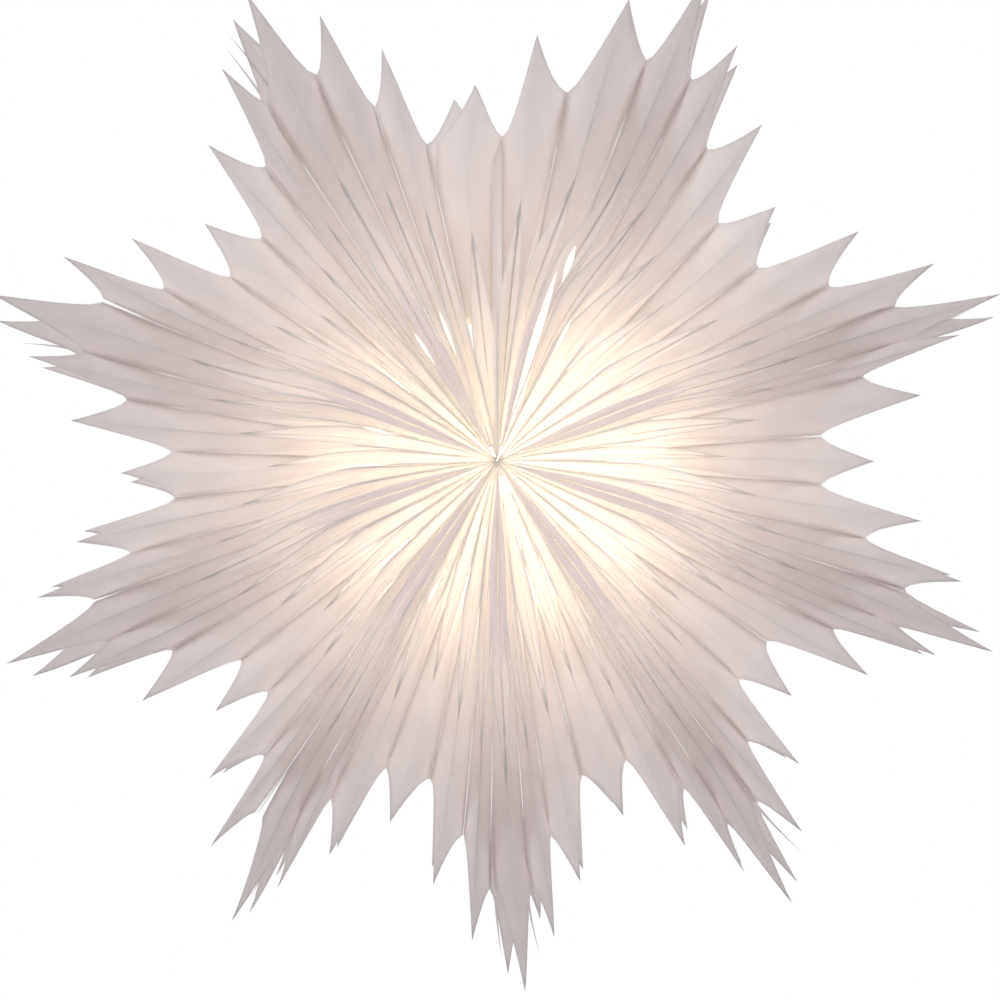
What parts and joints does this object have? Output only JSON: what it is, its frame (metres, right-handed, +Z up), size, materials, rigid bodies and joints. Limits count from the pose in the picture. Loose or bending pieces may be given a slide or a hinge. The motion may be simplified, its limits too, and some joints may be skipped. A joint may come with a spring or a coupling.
{
  "type": "fan-folded paper star pendant lamp",
  "caption": "Pointed star pendant of fan-folded gusseted paper bags, closed at the top with card end boards, hung on a lampholder with a lit bulb inside.",
  "frame": {"origin": "centre of the cord inlet's mouth on top of the lampholder, where the lamp hangs", "axes": "+Z up along the hanging cord, +X to the viewer's right, +Y away from the viewer"},
  "size_m": [0.7481, 0.18, 0.7563],
  "materials": {
    "lamp_paper": "thin white paper, matt, lets light through",
    "end_board_card": "white lined card, matt",
    "fastener_nylon": "white hook and loop tape",
    "holder_plastic": "white thermosetting plastic",
    "screw_steel": "zinc plated",
    "carrier_ceramic": "unglazed steatite",
    "contact_brass": "nickel free brass strip",
    "insulator_glass": "black glass",
    "cap_aluminium": "rolled thread, bright",
    "housing_plastic": "white, satin gloss",
    "opal_globe": "opal white, lit from inside",
    "light_board_metal": "white solder mask",
    "chip_resin": "yellow phosphor resin",
    "circuit_board": "green fibreglass board"
  },
  "bodies": {
    "lampholder": {"holder_cap": "holder_plastic", "holder_body": "holder_plastic", "cord_grip_screw": "screw_steel", "terminal_screws": "screw_steel", "contact_carrier": "carrier_ceramic", "screw_shell": "contact_brass", "centre_contact": "contact_brass", "terminal_clamps": "contact_brass"},
    "star": {"arm_1_valley_bags": "lamp_paper", "arm_1_side_bags": "lamp_paper", "arm_1_shoulder_bags": "lamp_paper", "arm_1_tip_bags": "lamp_paper", "arm_2_valley_bags": "lamp_paper", "arm_2_side_bags": "lamp_paper", "arm_2_shoulder_bags": "lamp_paper", "arm_2_tip_bags": "lamp_paper", "arm_3_valley_bags": "lamp_paper", "arm_3_side_bags": "lamp_paper", "arm_3_shoulder_bags": "lamp_paper", "arm_3_tip_bags": "lamp_paper", "arm_4_valley_bags": "lamp_paper", "arm_4_side_bags": "lamp_paper", "arm_4_shoulder_bags": "lamp_paper", "arm_4_tip_bags": "lamp_paper", "arm_5_valley_bags": "lamp_paper", "arm_5_side_bags": "lamp_paper", "arm_5_shoulder_bags": "lamp_paper", "arm_5_tip_bags": "lamp_paper", "arm_6_valley_bags": "lamp_paper", "arm_6_side_bags": "lamp_paper", "arm_6_shoulder_bags": "lamp_paper", "arm_6_tip_bags": "lamp_paper", "arm_7_valley_bags": "lamp_paper", "arm_7_side_bags": "lamp_paper", "arm_7_shoulder_bags": "lamp_paper", "arm_7_tip_bags": "lamp_paper", "arm_8_valley_bags": "lamp_paper", "arm_8_side_bags": "lamp_paper", "arm_8_shoulder_bags": "lamp_paper", "arm_8_tip_bags": "lamp_paper", "arm_9_valley_bags": "lamp_paper", "arm_9_side_bags": "lamp_paper", "arm_9_shoulder_bags": "lamp_paper", "arm_9_tip_bags": "lamp_paper", "end_boards_left": "end_board_card", "end_boards_right": "end_board_card", "hook_dots": "fastener_nylon", "loop_dots": "fastener_nylon"},
    "ring_carriage": {"ring_washer": "holder_plastic"},
    "ring": {"shade_ring": "holder_plastic"},
    "bulb_carriage": {"bulb_tip_contact": "contact_brass"},
    "bulb": {"bulb_insulator": "insulator_glass", "bulb_screw_cap": "cap_aluminium", "bulb_housing": "housing_plastic", "bulb_globe": "opal_globe", "light_board": "light_board_metal", "light_chips": "chip_resin", "driver_board": "circuit_board"}
  },
  "joints": [
    {"name": "star_swivel", "type": "hinge", "parent": "lampholder", "child": "star", "pos_m": [0, 0, 0], "axis": [0, 0, 1], "continuous": true},
    {"name": "ring_travel", "type": "slide", "parent": "lampholder", "child": "ring_carriage", "axis": [0, 0, -1], "range_m": [0, 0.01]},
    {"name": "ring_turn", "type": "hinge", "parent": "ring_carriage", "child": "ring", "pos_m": [0, 0, 0], "axis": [0, 0, -1], "range_deg": [0, 1800]},
    {"name": "bulb_travel", "type": "slide", "parent": "lampholder", "child": "bulb_carriage", "axis": [0, 0, -1], "range_m": [0, 0.0113]},
    {"name": "bulb_turn", "type": "hinge", "parent": "bulb_carriage", "child": "bulb", "pos_m": [0, 0, 0], "axis": [0, 0, -1], "range_deg": [0, 1440]}
  ],
  "couplings": [
    {"joint": "ring_travel", "follows": "ring_turn", "m_per_rad": 0.00031831},
    {"joint": "bulb_travel", "follows": "bulb_turn", "m_per_rad": 0.00044882}
  ]
}
